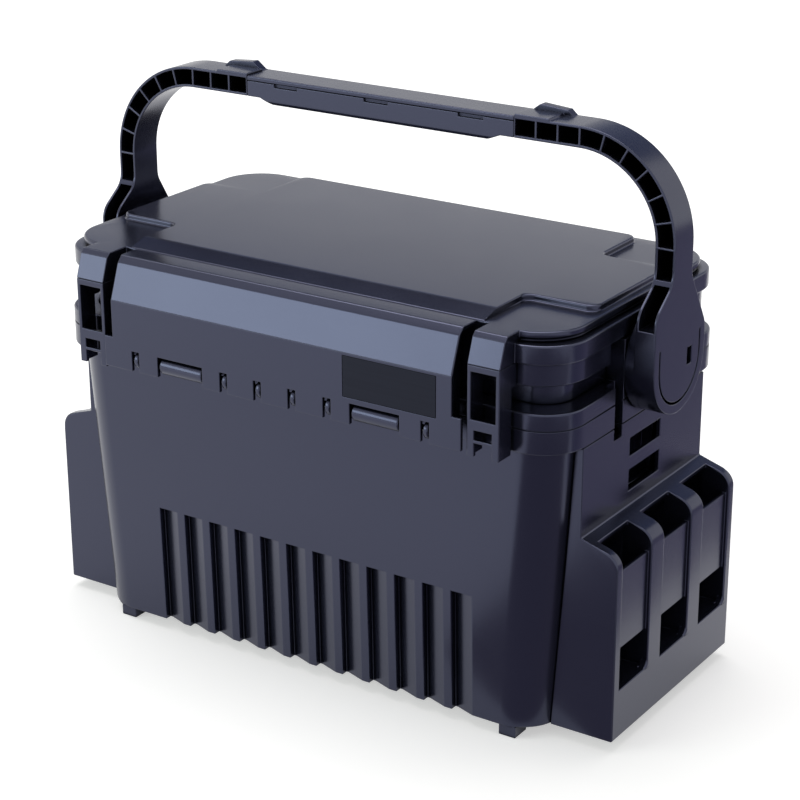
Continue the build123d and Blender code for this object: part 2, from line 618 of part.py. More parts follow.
def make_hanger(place):
    """A corner hanger below the lid's ear: windowed plate with two side flanges and a notched foot."""
    left = place - HANGER_WIDTH / 2
    right = place + HANGER_WIDTH / 2
    inner = (left + HANGER_WALL, right - HANGER_WALL)
    notch = (left + NOTCH_MARGIN, right - NOTCH_MARGIN)
    front = (HANGER_FACE, HANGER_FACE + HANGER_WALL)
    rear = COLLAR_FRONT + SKIRT_INSET - SEAT_GAP
    body = block((left, right), (HANGER_FACE, HANGER_FACE + HANGER_REACH), (HANGER_LOW, FLANGE_LOW))
    body += block((left, right), (HANGER_FACE, rear), (LID_LOW, FLANGE_LOW))
    body -= block(inner, (front[1], rear + EPS), (HANGER_LOW - EPS, FLANGE_LOW + EPS))
    cut_y = (front[0] - EPS, front[1] + EPS)
    window_top = FLANGE_LOW - HANGER_WINDOW_DROP
    slot_low = HANGER_LOW + HANGER_SLOT_RISE
    body -= block(inner, cut_y, (window_top - HANGER_WINDOW_HEIGHT, window_top))
    body -= block(notch, cut_y, (slot_low, slot_low + HANGER_SLOT_HEIGHT))
    body -= block(notch, cut_y, (HANGER_LOW - EPS, HANGER_LOW + HANGER_NOTCH))
    return body


def make_latch():
    """The wide front latch: a bent panel with ribs, hinge knuckles, lug windows and a plate recess."""
    top = CAP_TOP
    back = LID_FRONT - LATCH_TOP_GAP
    bead_y = LATCH_FACE + LATCH_BEAD_BACK
    lean = LATCH_BEAD_BACK / (LATCH_BEAD_Z - LATCH_CREASE_Z)
    inside_y = LATCH_FACE + LATCH_WALL
    skin = (
        (LATCH_FACE, LATCH_LOW),
        (LATCH_FACE, LATCH_CREASE_Z),
        (bead_y, LATCH_BEAD_Z),
        (bead_y + (top - LATCH_BEAD_Z), top),
        (back, top),
        (back, top - LATCH_WALL),
        (bead_y + (top - LATCH_BEAD_Z), top - LATCH_WALL),
        (bead_y + LATCH_WALL, LATCH_BEAD_Z - lean),
        (inside_y, LATCH_CREASE_Z),
        (inside_y, LATCH_LOW),
    )
    body = along_x(skin, -LATCH_HALF_TOP, LATCH_HALF_TOP)
    bead_edges = body.edges().filter_by(Axis.X)
    body = fillet(bead_edges.sort_by_distance((0, bead_y, LATCH_BEAD_Z))[0], LATCH_BEAD_RADIUS)
    for side in (-1, 1):
        wing_x = sorted((side * LATCH_HALF_TOP, side * LATCH_HALF_LOW))
        body += block(wing_x, (LATCH_FACE, inside_y), (LATCH_LOW, LATCH_LOW + LATCH_WING_HEIGHT))

    rib_back = LATCH_AXIS_Y + RIB_BACK_LOW
    web = (
        (LATCH_FACE + LATCH_WALL / 2, LATCH_AXIS_Z),
        (LATCH_FACE + LATCH_WALL / 2, LATCH_CREASE_Z),
        (bead_y + LATCH_WALL / 2, LATCH_BEAD_Z),
        (bead_y + (top - LATCH_BEAD_Z), top - LATCH_WALL / 2),
        (rib_back, top - LATCH_WALL / 2),
        (rib_back, LATCH_AXIS_Z),
    )
    for place in both_sides(KNUCKLE_PLACES):
        body += along_x(web, place - RIB / 2, place + RIB / 2)
        knuckle_x = (place - KNUCKLE_WIDTH / 2, place + KNUCKLE_WIDTH / 2)
        body += rod(KNUCKLE_RADIUS, *knuckle_x, LATCH_AXIS_Y, LATCH_AXIS_Z)

    window_top = LATCH_AXIS_Z + LUG_RADIUS + SIDE_GAP
    window_y = (LATCH_FACE - EPS, inside_y + EPS)
    lugs = [(place, BARREL_WIDTH) for place in both_sides((BARREL_PLACE,))]
    lugs += [(place, LUG_WIDTH) for place in both_sides(LUG_PLACES)]
    for place, width in lugs:
        half = width / 2 + SIDE_GAP
        body -= block((place - half, place + half), window_y, (LATCH_LOW - EPS, window_top))
    bore_half = LATCH_HALF_TOP + EPS
    body -= rod(LATCH_PIN_RADIUS + RUNNING_GAP, -bore_half, bore_half, LATCH_AXIS_Y, LATCH_AXIS_Z)

    recess_x = (PLATE_START - SEAT_GAP, PLATE_START + PLATE_LENGTH + SEAT_GAP)
    recess_z = (PLATE_LOW - SEAT_GAP, PLATE_HIGH + SEAT_GAP)
    body -= block(recess_x, (LATCH_FACE - EPS, LATCH_FACE + PLATE_THICKNESS), recess_z)
    return body


def make_name_plate():
    """The bare plate that lies flush in the latch's recess."""
    x_span = (PLATE_START, PLATE_START + PLATE_LENGTH)
    return block(x_span, (LATCH_FACE, LATCH_FACE + PLATE_THICKNESS), (PLATE_LOW, PLATE_HIGH))


def make_pivot_pin():
    """The right-hand pivot pin, fixed in its tower and running in the handle's hub."""
    return rod(PIVOT_RADIUS, SIDE_X - PIVOT_SINK, ARM_OUTER - HUB_WALL - SEAT_GAP, 0, PIVOT_Z)


def arm_side_outline():
    """Side view of the arm's lower end: round hub, flare and straight shank."""
    corners = (
        (-HUB_RADIUS, PIVOT_Z),
        (-HUB_RADIUS, FRONT_FLARE_Z),
        (-ARM_HALF, KINK_Z),
        (-ARM_HALF, BEND_Z),
        (ARM_HALF, BEND_Z),
        (ARM_HALF, KINK_Z),
        (HUB_RADIUS, REAR_FLARE_Z),
        (HUB_RADIUS, PIVOT_Z),
    )
    shank = make_face(Polyline(*corners, close=True))
    rounded = [v for v in shank.vertices() if REAR_FLARE_Z - EPS < v.Y < KINK_Z + EPS]
    return Plane.YZ * (fillet(rounded, FLARE_RADIUS) + Pos(0, PIVOT_Z) * Circle(HUB_RADIUS))


def bend_ring(inner, outer, start, stop):
    """Part of a ring about the middle of the arm's bend, in front view."""
    reach = 2 * outer
    wedge = make_face(
        Polyline(
            (0, 0),
            (reach * cos(radians(start)), reach * sin(radians(start))),
            (reach * cos(radians(stop)), reach * sin(radians(stop))),
            close=True,
        )
    )
    return Plane.XZ * (Pos(BEND_X, BEND_Z) * ((Circle(outer) - Circle(inner)) & wedge))


def arm_cells():
    """The open cells between the arm's ribs, cut in from the front."""
    inner = BEND_RADIUS + ARM_FLANGE
    outer = BEND_RADIUS + ARM_THICK - ARM_FLANGE
    step = 90.0 / BEND_CELLS
    margin = degrees(ARM_RIB / (inner + outer))
    depth = 2 * HUB_RADIUS
    cells = []
    for number in range(BEND_CELLS):
        face = bend_ring(inner, outer, number * step + margin, (number + 1) * step - margin)
        cells.append(Pos(0, ARM_HALF - ARM_WEB, 0) * extrude(face, depth))
    pitch = (BEND_X - GRIP_HALF) / STRAIGHT_CELLS
    y_span = (ARM_HALF - ARM_WEB - depth, ARM_HALF - ARM_WEB)
    for number in range(STRAIGHT_CELLS):
        low = GRIP_HALF + number * pitch + ARM_RIB / 2
        high = low + pitch - ARM_RIB
        cells.append(block((low, high), y_span, (ARM_UNDER + ARM_FLANGE, ARM_TOP - ARM_FLANGE)))
    x_span = (ARM_INNER + ARM_FLANGE, ARM_OUTER - ARM_FLANGE)
    cells.append(block(x_span, y_span, (KINK_Z + KINK_RIB / 2, BEND_Z - ARM_RIB / 2)))
    cells.append(block(x_span, y_span, (CELL_LOW, KINK_Z - KINK_RIB / 2)))
    return cells


def make_arm():
    """The right-hand arm: hub with its spring tongue, ribbed bend, and the tenon for the grip."""
    body = Pos(ARM_INNER, 0, 0) * extrude(arm_side_outline(), ARM_THICK)
    drum = rod(HUB_RADIUS, HUB_INNER, ARM_OUTER - HUB_WALL, 0, PIVOT_Z)
    body += drum
    bend = bend_ring(BEND_RADIUS, BEND_RADIUS + ARM_THICK, 0, 90)
    body += Pos(0, ARM_HALF, 0) * extrude(bend, 2 * ARM_HALF)
    body += block((GRIP_HALF, BEND_X), (-ARM_HALF, ARM_HALF), (ARM_UNDER, ARM_TOP))

    saddle = (
        (GRIP_HALF, ARM_TOP - EPS),
        (GRIP_HALF + SADDLE_LENGTH + SADDLE_HEIGHT, ARM_TOP - EPS),
        (GRIP_HALF + SADDLE_LENGTH, ARM_TOP + SADDLE_HEIGHT),
        (GRIP_HALF, ARM_TOP + SADDLE_HEIGHT),
    )
    body += along_y(saddle, -ARM_HALF, ARM_HALF - ARM_LUG_DEPTH)
    lug = (
        (GRIP_HALF, ARM_TOP - EPS),
        (GRIP_HALF + ARM_LUG_LENGTH, ARM_TOP - EPS),
        (GRIP_HALF + ARM_LUG_LENGTH - ARM_LUG_HEIGHT, ARM_TOP + ARM_LUG_STEP),
        (GRIP_HALF + ARM_LUG_RAMP, ARM_TOP + ARM_LUG_HEIGHT),
    )
    body += along_y(lug, ARM_HALF - ARM_LUG_DEPTH, ARM_HALF)

    hollow_top = CELL_LOW - HUB_WALL
    ring_gap = HUB_RADIUS - HUB_WALL
    hollow = rod(ring_gap, HUB_INNER - EPS, ARM_OUTER - HUB_WALL, 0, PIVOT_Z)
    hub_y = (-HUB_RADIUS, HUB_RADIUS)
    hollow -= block((HUB_INNER - EPS, ARM_OUTER), hub_y, (hollow_top, CELL_LOW + HUB_RADIUS))
    hollow -= rod(HUB_BOSS, HUB_INNER - 2 * EPS, ARM_OUTER, 0, PIVOT_Z)
    body -= hollow
    body -= arm_cells()
    body -= rod(PIVOT_RADIUS + RUNNING_GAP, HUB_INNER - EPS, ARM_OUTER - HUB_WALL, 0, PIVOT_Z)

    inner_radius = TONGUE_RADIUS - TONGUE_SLIT
    stem = Pos(0, TONGUE_RADIUS / 2)
    slit = Circle(TONGUE_RADIUS) + stem * Rectangle(2 * TONGUE_RADIUS, TONGUE_RADIUS)
    slit -= Circle(inner_radius) + stem * Rectangle(2 * inner_radius, TONGUE_RADIUS)
    slit -= Pos(0, TONGUE_RADIUS) * Rectangle(2 * TONGUE_RADIUS, TONGUE_RADIUS)
    slit = Plane.YZ * (Pos(0, PIVOT_Z) * slit)
    body -= Pos(ARM_OUTER - HUB_WALL - EPS, 0, 0) * extrude(slit, HUB_WALL + 2 * EPS)
    hole_y = (DETENT_PLACE - DETENT_WIDTH / 2, DETENT_PLACE + DETENT_WIDTH / 2)
    hole_z = (PIVOT_Z - DETENT_HEIGHT / 2, PIVOT_Z + DETENT_HEIGHT / 2)
    body -= block((ARM_OUTER - HUB_WALL - EPS, ARM_OUTER + EPS), hole_y, hole_z)

    tenon_x = (GRIP_HALF - TENON_LENGTH, GRIP_HALF + ARM_RIB / 2)
    tenon_z = (ARM_UNDER + TENON_MARGIN, ARM_TOP - COVER_THICK - TENON_MARGIN)
    body += block(tenon_x, (-TENON_HALF, TENON_HALF), tenon_z)
    return body


def make_grip():
    """The lower half of the grip, deeper in its middle, with a socket for each arm's tenon."""
    top = ARM_TOP - COVER_THICK - SEAT_GAP
    end = GRIP_HALF - SEAT_GAP
    profile = (
        (-end, top),
        (-end, ARM_UNDER),
        (-GRIP_FULL - GRIP_TAPER, ARM_UNDER),
        (-GRIP_FULL, ARM_UNDER - GRIP_DROP),
        (GRIP_FULL, ARM_UNDER - GRIP_DROP),
        (GRIP_FULL + GRIP_TAPER, ARM_UNDER),
        (end, ARM_UNDER),
        (end, top),
    )
    body = along_y(profile, -ARM_HALF, ARM_HALF)
    low_edges = body.edges().filter_by(Axis.X).group_by(Axis.Z)[0]
    body = fillet(low_edges, GRIP_EDGE)
    for side in (-1, 1):
        socket_x = sorted((side * (GRIP_HALF - TENON_LENGTH - SEAT_GAP), side * (GRIP_HALF + EPS)))
        socket_y = (-TENON_HALF - SEAT_GAP, TENON_HALF + SEAT_GAP)
        socket_z = (ARM_UNDER + TENON_MARGIN - SEAT_GAP, ARM_TOP - COVER_THICK - TENON_MARGIN + SEAT_GAP)
        body -= block(socket_x, socket_y, socket_z)
    for place in CLIP_PLACES:
        clip_x = (place - CLIP_LENGTH / 2, place + CLIP_LENGTH / 2)
        body -= block(clip_x, (-ARM_HALF - EPS, -ARM_HALF + CLIP_SINK), (top - CLIP_HEIGHT, top + EPS))
    return body


def make_grip_cover():
    """The flat cover along the top of the grip."""
    end = GRIP_HALF - SEAT_GAP
    body = block((-end, end), (-ARM_HALF, ARM_HALF), (ARM_TOP - COVER_THICK, ARM_TOP))
    top_edges = body.edges().filter_by(Axis.X).group_by(Axis.Z)[-1]
    return fillet(top_edges, COVER_EDGE)


def tray_middle():
    """Where the tray's middle stands at rest: against the left end of the box."""
    return -(NECK_LENGTH / 2 - WALL - TRAY_END_GAP - TRAY_LENGTH / 2)


def tray_half_depth():
    """Half of the tray's depth, which passes through the neck."""
    return NECK_DEPTH / 2 - WALL - TRAY_SIDE_GAP


def divider_places():
    """The dividers' places along the tray."""
    pitch = TRAY_LENGTH / (DIVIDER_COUNT + 1)
    return [tray_middle() - TRAY_LENGTH / 2 + (number + 1) * pitch for number in range(DIVIDER_COUNT)]


def make_tray():
    """The half-length tray, with paired guides that hold its dividers."""
    low = RAIL_TOP + SEAT_GAP
    depth = 2 * tray_half_depth()
    body = slab(TRAY_LENGTH, depth, TRAY_CORNER, low, low + TRAY_HEIGHT)
    inner_corner = TRAY_CORNER - TRAY_WALL
    inner_length = TRAY_LENGTH - 2 * TRAY_WALL
    inner_depth = depth - 2 * TRAY_WALL
    body -= slab(inner_length, inner_depth, inner_corner, low + TRAY_WALL, low + TRAY_HEIGHT + EPS)
    body = Pos(tray_middle(), 0, 0) * body
    wall_y = tray_half_depth() - TRAY_WALL / 2
    edge_y = tray_half_depth() - TRAY_WALL - GUIDE
    offset = DIVIDER_THICK / 2 + DIVIDER_GAP + GUIDE / 2
    z_span = (low + TRAY_WALL / 2, low + TRAY_HEIGHT - DIVIDER_DROP)
    for place in divider_places():
        for side in (-1, 1):
            for guide in both_sides((offset,)):
                x_span = (place + guide - GUIDE / 2, place + guide + GUIDE / 2)
                body += block(x_span, sorted((side * wall_y, side * edge_y)), z_span)
    return body


def make_divider(place):
    """One loose divider across the tray."""
    low = RAIL_TOP + SEAT_GAP + TRAY_WALL + SEAT_GAP
    high = RAIL_TOP + SEAT_GAP + TRAY_HEIGHT - DIVIDER_DROP
    half = tray_half_depth() - TRAY_WALL - DIVIDER_GAP
    x_span = (place - DIVIDER_THICK / 2, place + DIVIDER_THICK / 2)
    return block(x_span, (-half, half), (low, high))


def make_pieces():
    """Every piece by name."""
    pieces = {"tub": make_tub(), "collar": make_collar(), "lid": make_lid()}
    pieces["rack_right"] = make_rack()
    pieces["rack_left"] = mirrored(pieces["rack_right"])
    pieces["hanger_right"] = make_hanger(HANGER_PLACE)
    pieces["hanger_left"] = make_hanger(-HANGER_PLACE)
    pieces["front_latch"] = make_latch()
    pieces["name_plate"] = make_name_plate()
    pin_half = LATCH_HALF_TOP - SEAT_GAP
    pieces["latch_pin"] = rod(LATCH_PIN_RADIUS, -pin_half, pin_half, LATCH_AXIS_Y, LATCH_AXIS_Z)
    pin_reach = hinge_lug_offset() + TUB_KNUCKLE / 2
    for name, place in (("hinge_pin_left", -HINGE_PLACE), ("hinge_pin_right", HINGE_PLACE)):
        pieces[name] = rod(HINGE_PIN_RADIUS, place - pin_reach, place + pin_reach, HINGE_Y, HINGE_Z)
    pieces["pivot_pin_right"] = make_pivot_pin()
    pieces["pivot_pin_left"] = mirrored(pieces["pivot_pin_right"])
    pieces["handle_arm_right"] = make_arm()
    pieces["handle_arm_left"] = mirrored(pieces["handle_arm_right"])
    pieces["grip_body"] = make_grip()
    pieces["grip_cover"] = make_grip_cover()
    pieces["tray"] = make_tray()
    for number, place in enumerate(divider_places(), start=1):
        pieces[f"tray_divider_{number}"] = make_divider(place)
    return pieces


os.makedirs("parts", exist_ok=True)
for name, piece in make_pieces().items():
    export_step(Pos(0, CENTRE_SHIFT, 0) * piece, f"parts/{name}.step")
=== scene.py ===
import json
import math

import bmesh
import bpy
import numpy as np
from mathutils import Matrix, Vector, kdtree
from mathutils.geometry import delaunay_2d_cdt


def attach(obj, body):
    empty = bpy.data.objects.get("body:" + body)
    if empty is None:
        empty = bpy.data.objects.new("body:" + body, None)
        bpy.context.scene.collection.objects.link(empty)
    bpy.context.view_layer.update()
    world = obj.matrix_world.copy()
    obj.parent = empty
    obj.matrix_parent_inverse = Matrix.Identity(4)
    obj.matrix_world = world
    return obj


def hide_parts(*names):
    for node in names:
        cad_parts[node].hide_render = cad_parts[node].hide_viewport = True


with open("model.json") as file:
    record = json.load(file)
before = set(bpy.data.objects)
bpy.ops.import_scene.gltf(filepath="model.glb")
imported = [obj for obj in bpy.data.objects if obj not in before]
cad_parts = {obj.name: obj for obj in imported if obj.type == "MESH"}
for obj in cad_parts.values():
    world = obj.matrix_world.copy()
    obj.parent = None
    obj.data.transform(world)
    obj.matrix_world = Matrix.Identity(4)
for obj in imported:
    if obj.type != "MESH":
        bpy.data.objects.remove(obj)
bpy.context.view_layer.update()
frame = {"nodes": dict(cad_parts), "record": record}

bl_info = {
    "name": "Tackle box dressing",
    "version": (1, 0, 0),
    "blender": (4, 5, 0),
    "location": "View3D > Sidebar > Tackle box",
    "description": "Rounds the edges of a moulded tackle box, gives it its plastics and sets it in a studio",
    "category": "Object",
}

MM = 0.001
JOIN_DISTANCE = 0.004 * MM
FILL_DISTANCE = 0.01 * JOIN_DISTANCE
SAMPLE_STEP = 1.0 * MM      # between the points that stand for an edge
MOST_SAMPLES = 60
EDGE_SHARE = 0.38           # most of the gap between two edges that one rounding may take
BESIDE = 0.5                # a gap that runs farther than this share along the edge isn't beside it
ROUNDING_STEPS = 3
FLATNESS = 0.002 * MM       # how far a flat area's points may lie off its plane
FOLD_AREA = 0.001 * MM * MM
FLAT = 0                    # material slots that tell flat faces from rounded ones
ROUNDED = 1
FLAT_WEIGHT = 100           # large faces keep their own normals
BODY_OF_NODE = {
    node: body for body, nodes in frame["record"]["behaviour"]["bodies"].items() for node in nodes
}
SLOT_OF_NODE = {part["node"]: part["material_slot"] for part in frame["record"]["subparts"]}

PAINTED_GLINT = "painted_glint"           # attribute that marks the convex rounded edges for a painted highlight
PAINTED_GLINT_SHARE = 0.7          # how far a marked edge takes the painted highlight colour
FLOW_MARKS = {"Scale": 14.0, "Detail": 3.0, "Roughness": 0.6, "Distortion": 0.8}
FLOW_DARK = 0.84            # the flow marks' shades of the plastic's colour
FLOW_PALE = 1.2
FLOW_DULL = 0.06            # how much rougher the flow marks and the grain make the plastic
GRAIN_DULL = 0.04
GRAIN = {"Detail": 2.0, "Roughness": 0.55}
GRAIN_BUMP = 0.12
GRAIN_DEPTH = 0.1 * MM
GRAIN_SHARE = 0.7           # of the relief; the pits have the rest
PIT_SCALE = 0.45
SATIN_GLOSS = 0.88
# bluish tint painted onto the plastic's reflections
SATIN_TINT = (0.58, 0.62, 1.0, 1.0)
PLATE_LAY = (8.0, 1.0, 700.0)
PLATE_PALE = 2.2
PLATE_ROUGH = 0.1
PLATE_DULL = 0.12
PLATE_GLOSS = 0.25
# bluish tint painted onto the plate's reflections
PLATE_TINT = (0.6, 0.66, 1.0, 1.0)
WIRE_LAY = (20.0, 2500.0, 2500.0)
WIRE_DARK = 0.8
WIRE_ROUGH = 0.22
WIRE_DULL = 0.16
# colour of the painted shade in recesses and seams
PAINTED_SHADE_COLOUR = (0.0015, 0.0015, 0.002, 1.0)
RECESS_REACH = 26.0 * MM    # walls farther off than this don't close a place in
RECESS_SAMPLES = 8
RECESS_CLOSED = 0.2         # share of open air at which a recess takes the full painted shade
RECESS_OPEN = 0.42          # and at which a surface takes no painted shade
SEAM_REACH = 5.0 * MM       # walls that close a seam in
SEAM_CLOSED = 0.42          # share of open air at which the painted shade in a seam is darkest
SEAM_OPEN = 0.78
SEAM_SHADE = 0.75           # how black the painted shade in the darkest seam is

FLOOR_HALF = 3.0
FLOOR_ROUGH = 0.9
FLOOR_NEAR = 0.5            # from here to there the floor fades from its lift to its far white
FLOOR_FAR = 1.6
FLOOR_WHITE = 0.8
LAMP_TARGET = (0.0, 0.0, 0.18)
OVERHEAD = {"place": (-0.3, 0.2, 2.0), "size": (1.8, 1.4), "colour": (1.0, 0.98, 0.96)}
FRONT = {"place": (-1.47, -1.94, 0.85), "size": (1.4, 0.9), "colour": (0.88, 1.0, 0.91)}
SENSOR_WIDTH = 36.0
# Glowing cards that only gloss sees: painted reflections that set what the plastic reflects beside and behind
# the box, each with its colour and corners.
CARDS = {
    "near_card": ((0.3, 0.27, 0.34), (
        (0.06, -0.16, 0.002), (0.06, -0.9, 0.002), (0.9, -1.2, 0.002),
        (0.9, -0.02, 0.002), (0.3, -0.02, 0.002),
    )),
    "right_card": ((0.3, 0.285, 0.43), (
        (0.288, 0.04, 0.002), (2.8, 0.04, 0.002), (2.8, 2.8, 0.002), (0.288, 2.8, 0.002)
    )),
    "rear_card": ((0.17, 0.21, 0.36), (
        (-4.0, 2.6, 1.32), (0.8, 2.6, 1.32), (0.8, 2.6, 3.0), (-4.0, 2.6, 3.0)
    )),
    "high_card": ((0.07, 0.09, 0.17), (
        (-5.0, 2.6, 3.0), (1.5, 2.6, 3.0), (1.5, 2.6, 6.5), (-5.0, 2.6, 6.5)
    )),
}


class EdgeSizes(bpy.types.PropertyGroup):
    """Radii of the moulded edges, one for each kind of piece."""

    tub: bpy.props.FloatProperty(
        name="Tub", description="Edges of the tub and its racks", default=1.3 * MM, unit="LENGTH"
    )
    lid: bpy.props.FloatProperty(
        name="Lid", description="Edges of the lid and its hangers", default=1.3 * MM, unit="LENGTH"
    )
    latch: bpy.props.FloatProperty(
        name="Latch", description="Edges of the front latch", default=0.9 * MM, unit="LENGTH"
    )
    handle: bpy.props.FloatProperty(
        name="Handle", description="Edges of the handle's arms and grip", default=0.6 * MM, unit="LENGTH"
    )
    tray: bpy.props.FloatProperty(
        name="Tray", description="Edges of the tray and its dividers", default=0.35 * MM, unit="LENGTH"
    )
    pin: bpy.props.FloatProperty(
        name="Pins", description="Edges of the pins and the name plate", default=0.2 * MM, unit="LENGTH"
    )
    crease: bpy.props.FloatProperty(
        name="Crease", description="Sharpest turn that is left unrounded", subtype="ANGLE",
        default=math.radians(12)
    )


class Finishes(bpy.types.PropertyGroup):
    """Colours and gloss of the plastics and the wire."""

    black: bpy.props.FloatVectorProperty(
        name="Moulded black", description="Tub, lid, latch and arms", subtype="COLOR", size=3,
        default=(0.006, 0.0066, 0.0115), min=0, max=1
    )
    grip: bpy.props.FloatVectorProperty(
        name="Grip", description="Lower half of the grip", subtype="COLOR", size=3,
        default=(0.0055, 0.006, 0.0095), min=0, max=1
    )
    plate: bpy.props.FloatVectorProperty(
        name="Name plate", description="Bare gloss plate on the latch", subtype="COLOR", size=3,
        default=(0.004, 0.0045, 0.007), min=0, max=1
    )
    tray: bpy.props.FloatVectorProperty(
        name="Tray", description="Tray and dividers", subtype="COLOR", size=3,
        default=(0.05, 0.052, 0.06), min=0, max=1
    )
    steel: bpy.props.FloatVectorProperty(
        name="Steel", description="Hinge wire", subtype="COLOR", size=3,
        default=(0.55, 0.56, 0.58), min=0, max=1
    )
    # pale colour painted on the convex rounded edges as a highlight
    glint_colour: bpy.props.FloatVectorProperty(
        name="Painted edge glint", description="Edges of the moulded pieces", subtype="COLOR", size=3,
        default=(0.035, 0.038, 0.05), min=0, max=1
    )
    satin: bpy.props.FloatProperty(
        name="Satin", description="Roughness of the moulded surfaces", subtype="FACTOR",
        default=0.22, min=0, max=1
    )
    grain: bpy.props.FloatProperty(
        name="Grain", description="Spacing of the moulded grain", default=0.9 * MM, unit="LENGTH"
    )


class Studio(bpy.types.PropertyGroup):
    """Camera and light."""

    eye: bpy.props.FloatVectorProperty(
        name="Eye", description="Where the camera stands", subtype="XYZ", unit="LENGTH", size=3,
        default=(0.7658, -1.1299, 0.6877)
    )
    azimuth: bpy.props.FloatProperty(
        name="Azimuth", description="Turn of the view about the vertical", subtype="ANGLE",
        default=math.radians(33.59)
    )
    elevation: bpy.props.FloatProperty(
        name="Elevation", description="How far the view looks down", subtype="ANGLE",
        default=math.radians(21.0)
    )
    roll: bpy.props.FloatProperty(
        name="Roll", description="Tilt of the camera", default=math.radians(-0.14), subtype="ANGLE"
    )
    lens: bpy.props.FloatProperty(
        name="Lens", description="Focal length in millimetres on a 36 mm frame", default=99.62, min=10
    )
    floor: bpy.props.FloatVectorProperty(
        name="Floor", description="Colour of the floor", subtype="COLOR", size=3,
        default=(0.8, 0.8, 0.8), min=0, max=1
    )
    ambient: bpy.props.FloatProperty(
        name="Ambient", description="Strength of the light from all round", default=0.35, min=0
    )
    lift: bpy.props.FloatProperty(
        name="Lift", description="How far the floor is lifted to white where it is seen",
        default=0.5, min=0, max=1
    )
    key: bpy.props.FloatProperty(name="Key", description="Power of the overhead light", default=26.0, min=0)
    front: bpy.props.FloatProperty(name="Front", description="Power of the front light", default=15.5, min=0)


class Wire:
    """A shader socket that takes part in plain arithmetic; each operation adds a Math node."""

    def __init__(self, tree, socket):
        self.tree = tree
        self.socket = socket

    def node(self, kind, settings=None, output=0, **values):
        """Adds a node, sets it up, fills or links its sockets and returns one of its outputs."""
        made = self.tree.nodes.new(kind)
        for key, value in (settings or {}).items():
            setattr(made, key, value)
        for key, value in values.items():
            name = key.strip("_").replace("_", " ")
            socket = made.inputs[int(name)] if name.isdigit() else made.inputs[name]
            if isinstance(value, Wire):
                self.tree.links.new(value.socket, socket)
            else:
                socket.default_value = value
        return Wire(self.tree, made.outputs[output])

    def blend(self, factor, first, second):
        """A colour between two others."""
        return self.node("ShaderNodeMix", {"data_type": "RGBA"}, 2, Factor=factor, _6=first, _7=second)

    def maths(self, operation, first, second):
        return self.node("ShaderNodeMath", {"operation": operation}, _0=first, _1=second)

    def __add__(self, other):
        return self.maths("ADD", self, other)

    def __radd__(self, other):
        return self.maths("ADD", other, self)

    def __sub__(self, other):
        return self.maths("SUBTRACT", self, other)

    def __rsub__(self, other):
        return self.maths("SUBTRACT", other, self)

    def __mul__(self, other):
        return self.maths("MULTIPLY", self, other)

    def __rmul__(self, other):
        return self.maths("MULTIPLY", other, self)


def shade(colour, times):
    """A colour made darker or paler, as a shader's socket takes it."""
    return [channel * times for channel in colour] + [1.0]


def new_material(name):
    """A new material, a wire that gives places on the piece, and the material's Principled shader."""
    material = bpy.data.materials.new(name)
    material.use_nodes = True
    tree = material.node_tree
    shader = tree.nodes["Principled BSDF"]
    places = tree.nodes.new("ShaderNodeTexCoord")
    return material, Wire(tree, places.outputs["Object"]), shader


def join(wire, shader, name):
    """Feeds a wire into one of the shader's sockets."""
    wire.tree.links.new(wire.socket, shader.inputs[name])


def closed_in(place, reach, closed, plain, shade_most):
    """How much painted shade a place takes from near walls that close it in, from none in the open to the
    most shade.
    """
    air = place.node("ShaderNodeAmbientOcclusion", {"samples": RECESS_SAMPLES}, "AO", Distance=reach)
    return place.node(
        "ShaderNodeMapRange", Value=air, From_Min=closed, From_Max=plain, To_Min=shade_most, To_Max=0.0
    )


def paint_recess_shade(place, shader):
    """Paints shade: fades a plastic into matt black where walls close it in, as in pockets, cells and seams.
    """
    tree = place.tree
    dark = tree.nodes.new("ShaderNodeBsdfPrincipled")
    dark.inputs["Base Color"].default_value = PAINTED_SHADE_COLOUR
    dark.inputs["Roughness"].default_value = 1.0
    dark.inputs["Specular IOR Level"].default_value = 0.0
    recess = closed_in(place, RECESS_REACH, RECESS_CLOSED, RECESS_OPEN, 1.0)
    seam = closed_in(place, SEAM_REACH, SEAM_CLOSED, SEAM_OPEN, SEAM_SHADE)
    depth = place.maths("MAXIMUM", recess, seam)
    plastic, black = (Wire(tree, each.outputs["BSDF"]) for each in (shader, dark))
    mixed = place.node("ShaderNodeMixShader", Fac=depth, _1=plastic, _2=black)
    tree.links.new(mixed.socket, tree.nodes["Material Output"].inputs["Surface"])


def moulded(name, colour, finish):
    """Satin moulded plastic: fine eroded grain, slow flow marks, a painted highlight on the convex rounded
    edges and painted shade in recesses and seams.
    """
    material, place, shader = new_material(name)
    flow = place.node("ShaderNodeTexNoise", Vector=place, **FLOW_MARKS)
    fine = place.node("ShaderNodeTexNoise", Vector=place, Scale=1 / finish.grain, **GRAIN)
    pits = place.node("ShaderNodeTexVoronoi", {"feature": "F1"}, Vector=place, Scale=PIT_SCALE / finish.grain)
    painted_glint = place.node("ShaderNodeAttribute", {"attribute_name": PAINTED_GLINT}, "Fac")
    tint = place.blend(flow, shade(colour, FLOW_DARK), shade(colour, FLOW_PALE))
    # painted highlight: the marked edges take a paler colour
    join(place.blend(PAINTED_GLINT_SHARE * painted_glint, tint, shade(finish.glint_colour, 1.0)), shader, "Base Color")
    join(finish.satin - GRAIN_DULL + FLOW_DULL * flow + GRAIN_DULL * fine, shader, "Roughness")
    height = GRAIN_SHARE * fine + (1 - GRAIN_SHARE) * pits
    relief = place.node("ShaderNodeBump", Strength=GRAIN_BUMP, Distance=GRAIN_DEPTH, Height=height)
    join(relief, shader, "Normal")
    shader.inputs["Specular IOR Level"].default_value = SATIN_GLOSS
    shader.inputs["Specular Tint"].default_value = SATIN_TINT
    # painted shade: the plastic fades to matt black in recesses and seams
    paint_recess_shade(place, shader)
    return material


